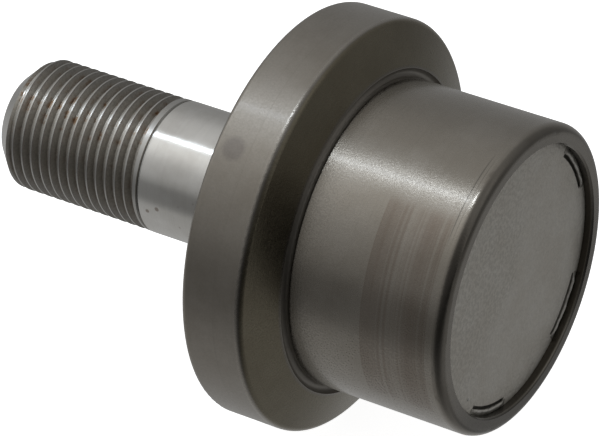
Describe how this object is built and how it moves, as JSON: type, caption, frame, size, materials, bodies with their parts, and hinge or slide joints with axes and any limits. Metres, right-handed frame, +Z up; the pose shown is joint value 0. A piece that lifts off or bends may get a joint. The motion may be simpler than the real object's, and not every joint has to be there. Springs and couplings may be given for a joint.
{
  "type": "cam follower",
  "caption": "Flanged stud-mounted cam follower: hardened roller with a side flange and staked end cap, sealed tapered roller bearings and a threaded stud.",
  "frame": {"origin": "centre of the stud's mounting shoulder face", "axes": "+Y along the stud, from the shoulder to its threaded end; +Z up; the roller turns about Y and its closed end faces -Y"},
  "size_m": [0.0682, 0.0937, 0.0682],
  "materials": {
    "roller_steel": "dark heat-treated steel, ground tread, soft sheen",
    "cap_steel": "matte dark grey steel disc, faintly mottled",
    "stud_steel": "ground steel shank, oily threads",
    "bearing_steel": "ground and honed bearing steel",
    "cage_steel": "pressed steel, dull",
    "nut_steel": "turned steel, dark oxide",
    "seal_case_steel": "pressed steel, dull",
    "seal_rubber": "black nitrile rubber, matte",
    "spring_steel": "spring wire"
  },
  "bodies": {
    "stud": {"stud": "stud_steel", "inboard_cone": "bearing_steel", "outboard_cone": "bearing_steel", "tab_washer": "nut_steel", "adjusting_nut": "nut_steel"},
    "roller": {"roller_shell": "roller_steel", "end_cap": "cap_steel", "inboard_cup": "bearing_steel", "outboard_cup": "bearing_steel", "seal_case": "seal_case_steel", "seal_lip": "seal_rubber", "garter_spring": "spring_steel"},
    "inboard_cage": {"inboard_cage": "cage_steel"},
    "outboard_cage": {"outboard_cage": "cage_steel"},
    "inboard_roller_01": {"inboard_roller_01": "bearing_steel"},
    "inboard_roller_02": {"inboard_roller_02": "bearing_steel"},
    "inboard_roller_03": {"inboard_roller_03": "bearing_steel"},
    "inboard_roller_04": {"inboard_roller_04": "bearing_steel"},
    "inboard_roller_05": {"inboard_roller_05": "bearing_steel"},
    "inboard_roller_06": {"inboard_roller_06": "bearing_steel"},
    "inboard_roller_07": {"inboard_roller_07": "bearing_steel"},
    "inboard_roller_08": {"inboard_roller_08": "bearing_steel"},
    "inboard_roller_09": {"inboard_roller_09": "bearing_steel"},
    "inboard_roller_10": {"inboard_roller_10": "bearing_steel"},
    "inboard_roller_11": {"inboard_roller_11": "bearing_steel"},
    "inboard_roller_12": {"inboard_roller_12": "bearing_steel"},
    "inboard_roller_13": {"inboard_roller_13": "bearing_steel"},
    "inboard_roller_14": {"inboard_roller_14": "bearing_steel"},
    "outboard_roller_01": {"outboard_roller_01": "bearing_steel"},
    "outboard_roller_02": {"outboard_roller_02": "bearing_steel"},
    "outboard_roller_03": {"outboard_roller_03": "bearing_steel"},
    "outboard_roller_04": {"outboard_roller_04": "bearing_steel"},
    "outboard_roller_05": {"outboard_roller_05": "bearing_steel"},
    "outboard_roller_06": {"outboard_roller_06": "bearing_steel"},
    "outboard_roller_07": {"outboard_roller_07": "bearing_steel"},
    "outboard_roller_08": {"outboard_roller_08": "bearing_steel"},
    "outboard_roller_09": {"outboard_roller_09": "bearing_steel"},
    "outboard_roller_10": {"outboard_roller_10": "bearing_steel"},
    "outboard_roller_11": {"outboard_roller_11": "bearing_steel"},
    "outboard_roller_12": {"outboard_roller_12": "bearing_steel"},
    "outboard_roller_13": {"outboard_roller_13": "bearing_steel"},
    "outboard_roller_14": {"outboard_roller_14": "bearing_steel"}
  },
  "joints": [
    {"name": "roller_spin", "type": "hinge", "parent": "stud", "child": "roller", "pos_m": [0, -0.02143, 0], "axis": [0, 1, 0], "continuous": true},
    {"name": "inboard_cage_spin", "type": "hinge", "parent": "stud", "child": "inboard_cage", "pos_m": [0, -0.0121, 0], "axis": [0, 1, 0], "continuous": true},
    {"name": "inboard_roller_01_spin", "type": "hinge", "parent": "inboard_cage", "child": "inboard_roller_01", "pos_m": [-0.014, -0.0121, 0], "axis": [-0.1623, 0.9867, 0], "continuous": true},
    {"name": "inboard_roller_02_spin", "type": "hinge", "parent": "inboard_cage", "child": "inboard_roller_02", "pos_m": [-0.01261, -0.0121, -0.00607], "axis": [-0.1462, 0.9867, -0.0704], "continuous": true},
    {"name": "inboard_roller_03_spin", "type": "hinge", "parent": "inboard_cage", "child": "inboard_roller_03", "pos_m": [-0.00873, -0.0121, -0.01095], "axis": [-0.1012, 0.9867, -0.1269], "continuous": true},
    {"name": "inboard_roller_04_spin", "type": "hinge", "parent": "inboard_cage", "child": "inboard_roller_04", "pos_m": [-0.00312, -0.0121, -0.01365], "axis": [-0.0361, 0.9867, -0.1582], "continuous": true},
    {"name": "inboard_roller_05_spin", "type": "hinge", "parent": "inboard_cage", "child": "inboard_roller_05", "pos_m": [0.00312, -0.0121, -0.01365], "axis": [0.0361, 0.9867, -0.1582], "continuous": true},
    {"name": "inboard_roller_06_spin", "type": "hinge", "parent": "inboard_cage", "child": "inboard_roller_06", "pos_m": [0.00873, -0.0121, -0.01095], "axis": [0.1012, 0.9867, -0.1269], "continuous": true},
    {"name": "inboard_roller_07_spin", "type": "hinge", "parent": "inboard_cage", "child": "inboard_roller_07", "pos_m": [0.01261, -0.0121, -0.00607], "axis": [0.1462, 0.9867, -0.0704], "continuous": true},
    {"name": "inboard_roller_08_spin", "type": "hinge", "parent": "inboard_cage", "child": "inboard_roller_08", "pos_m": [0.014, -0.0121, 0], "axis": [0.1623, 0.9867, 0], "continuous": true},
    {"name": "inboard_roller_09_spin", "type": "hinge", "parent": "inboard_cage", "child": "inboard_roller_09", "pos_m": [0.01261, -0.0121, 0.00607], "axis": [0.1462, 0.9867, 0.0704], "continuous": true},
    {"name": "inboard_roller_10_spin", "type": "hinge", "parent": "inboard_cage", "child": "inboard_roller_10", "pos_m": [0.00873, -0.0121, 0.01095], "axis": [0.1012, 0.9867, 0.1269], "continuous": true},
    {"name": "inboard_roller_11_spin", "type": "hinge", "parent": "inboard_cage", "child": "inboard_roller_11", "pos_m": [0.00312, -0.0121, 0.01365], "axis": [0.0361, 0.9867, 0.1582], "continuous": true},
    {"name": "inboard_roller_12_spin", "type": "hinge", "parent": "inboard_cage", "child": "inboard_roller_12", "pos_m": [-0.00312, -0.0121, 0.01365], "axis": [-0.0361, 0.9867, 0.1582], "continuous": true},
    {"name": "inboard_roller_13_spin", "type": "hinge", "parent": "inboard_cage", "child": "inboard_roller_13", "pos_m": [-0.00873, -0.0121, 0.01095], "axis": [-0.1012, 0.9867, 0.1269], "continuous": true},
    {"name": "inboard_roller_14_spin", "type": "hinge", "parent": "inboard_cage", "child": "inboard_roller_14", "pos_m": [-0.01261, -0.0121, 0.00607], "axis": [-0.1462, 0.9867, 0.0704], "continuous": true},
    {"name": "outboard_cage_spin", "type": "hinge", "parent": "stud", "child": "outboard_cage", "pos_m": [0, -0.02799, 0], "axis": [0, 1, 0], "continuous": true},
    {"name": "outboard_roller_01_spin", "type": "hinge", "parent": "outboard_cage", "child": "outboard_roller_01", "pos_m": [0.014, -0.02799, 0], "axis": [-0.1623, 0.9867, 0], "continuous": true},
    {"name": "outboard_roller_02_spin", "type": "hinge", "parent": "outboard_cage", "child": "outboard_roller_02", "pos_m": [0.01261, -0.02799, -0.00607], "axis": [-0.1462, 0.9867, 0.0704], "continuous": true},
    {"name": "outboard_roller_03_spin", "type": "hinge", "parent": "outboard_cage", "child": "outboard_roller_03", "pos_m": [0.00873, -0.02799, -0.01095], "axis": [-0.1012, 0.9867, 0.1269], "continuous": true},
    {"name": "outboard_roller_04_spin", "type": "hinge", "parent": "outboard_cage", "child": "outboard_roller_04", "pos_m": [0.00312, -0.02799, -0.01365], "axis": [-0.0361, 0.9867, 0.1582], "continuous": true},
    {"name": "outboard_roller_05_spin", "type": "hinge", "parent": "outboard_cage", "child": "outboard_roller_05", "pos_m": [-0.00312, -0.02799, -0.01365], "axis": [0.0361, 0.9867, 0.1582], "continuous": true},
    {"name": "outboard_roller_06_spin", "type": "hinge", "parent": "outboard_cage", "child": "outboard_roller_06", "pos_m": [-0.00873, -0.02799, -0.01095], "axis": [0.1012, 0.9867, 0.1269], "continuous": true},
    {"name": "outboard_roller_07_spin", "type": "hinge", "parent": "outboard_cage", "child": "outboard_roller_07", "pos_m": [-0.01261, -0.02799, -0.00607], "axis": [0.1462, 0.9867, 0.0704], "continuous": true},
    {"name": "outboard_roller_08_spin", "type": "hinge", "parent": "outboard_cage", "child": "outboard_roller_08", "pos_m": [-0.014, -0.02799, 0], "axis": [0.1623, 0.9867, 0], "continuous": true},
    {"name": "outboard_roller_09_spin", "type": "hinge", "parent": "outboard_cage", "child": "outboard_roller_09", "pos_m": [-0.01261, -0.02799, 0.00607], "axis": [0.1462, 0.9867, -0.0704], "continuous": true},
    {"name": "outboard_roller_10_spin", "type": "hinge", "parent": "outboard_cage", "child": "outboard_roller_10", "pos_m": [-0.00873, -0.02799, 0.01095], "axis": [0.1012, 0.9867, -0.1269], "continuous": true},
    {"name": "outboard_roller_11_spin", "type": "hinge", "parent": "outboard_cage", "child": "outboard_roller_11", "pos_m": [-0.00312, -0.02799, 0.01365], "axis": [0.0361, 0.9867, -0.1582], "continuous": true},
    {"name": "outboard_roller_12_spin", "type": "hinge", "parent": "outboard_cage", "child": "outboard_roller_12", "pos_m": [0.00312, -0.02799, 0.01365], "axis": [-0.0361, 0.9867, -0.1582], "continuous": true},
    {"name": "outboard_roller_13_spin", "type": "hinge", "parent": "outboard_cage", "child": "outboard_roller_13", "pos_m": [0.00873, -0.02799, 0.01095], "axis": [-0.1012, 0.9867, -0.1269], "continuous": true},
    {"name": "outboard_roller_14_spin", "type": "hinge", "parent": "outboard_cage", "child": "outboard_roller_14", "pos_m": [0.01261, -0.02799, 0.00607], "axis": [-0.1462, 0.9867, -0.0704], "continuous": true}
  ],
  "couplings": [
    {"joint": "inboard_cage_spin", "follows": "roller_spin", "ratio": 0.57748},
    {"joint": "inboard_roller_01_spin", "follows": "roller_spin", "ratio": 3.1073},
    {"joint": "inboard_roller_02_spin", "follows": "roller_spin", "ratio": 3.1073},
    {"joint": "inboard_roller_03_spin", "follows": "roller_spin", "ratio": 3.1073},
    {"joint": "inboard_roller_04_spin", "follows": "roller_spin", "ratio": 3.1073},
    {"joint": "inboard_roller_05_spin", "follows": "roller_spin", "ratio": 3.1073},
    {"joint": "inboard_roller_06_spin", "follows": "roller_spin", "ratio": 3.1073},
    {"joint": "inboard_roller_07_spin", "follows": "roller_spin", "ratio": 3.1073},
    {"joint": "inboard_roller_08_spin", "follows": "roller_spin", "ratio": 3.1073},
    {"joint": "inboard_roller_09_spin", "follows": "roller_spin", "ratio": 3.1073},
    {"joint": "inboard_roller_10_spin", "follows": "roller_spin", "ratio": 3.1073},
    {"joint": "inboard_roller_11_spin", "follows": "roller_spin", "ratio": 3.1073},
    {"joint": "inboard_roller_12_spin", "follows": "roller_spin", "ratio": 3.1073},
    {"joint": "inboard_roller_13_spin", "follows": "roller_spin", "ratio": 3.1073},
    {"joint": "inboard_roller_14_spin", "follows": "roller_spin", "ratio": 3.1073},
    {"joint": "outboard_cage_spin", "follows": "roller_spin", "ratio": 0.57748},
    {"joint": "outboard_roller_01_spin", "follows": "roller_spin", "ratio": 3.1073},
    {"joint": "outboard_roller_02_spin", "follows": "roller_spin", "ratio": 3.1073},
    {"joint": "outboard_roller_03_spin", "follows": "roller_spin", "ratio": 3.1073},
    {"joint": "outboard_roller_04_spin", "follows": "roller_spin", "ratio": 3.1073},
    {"joint": "outboard_roller_05_spin", "follows": "roller_spin", "ratio": 3.1073},
    {"joint": "outboard_roller_06_spin", "follows": "roller_spin", "ratio": 3.1073},
    {"joint": "outboard_roller_07_spin", "follows": "roller_spin", "ratio": 3.1073},
    {"joint": "outboard_roller_08_spin", "follows": "roller_spin", "ratio": 3.1073},
    {"joint": "outboard_roller_09_spin", "follows": "roller_spin", "ratio": 3.1073},
    {"joint": "outboard_roller_10_spin", "follows": "roller_spin", "ratio": 3.1073},
    {"joint": "outboard_roller_11_spin", "follows": "roller_spin", "ratio": 3.1073},
    {"joint": "outboard_roller_12_spin", "follows": "roller_spin", "ratio": 3.1073},
    {"joint": "outboard_roller_13_spin", "follows": "roller_spin", "ratio": 3.1073},
    {"joint": "outboard_roller_14_spin", "follows": "roller_spin", "ratio": 3.1073}
  ]
}
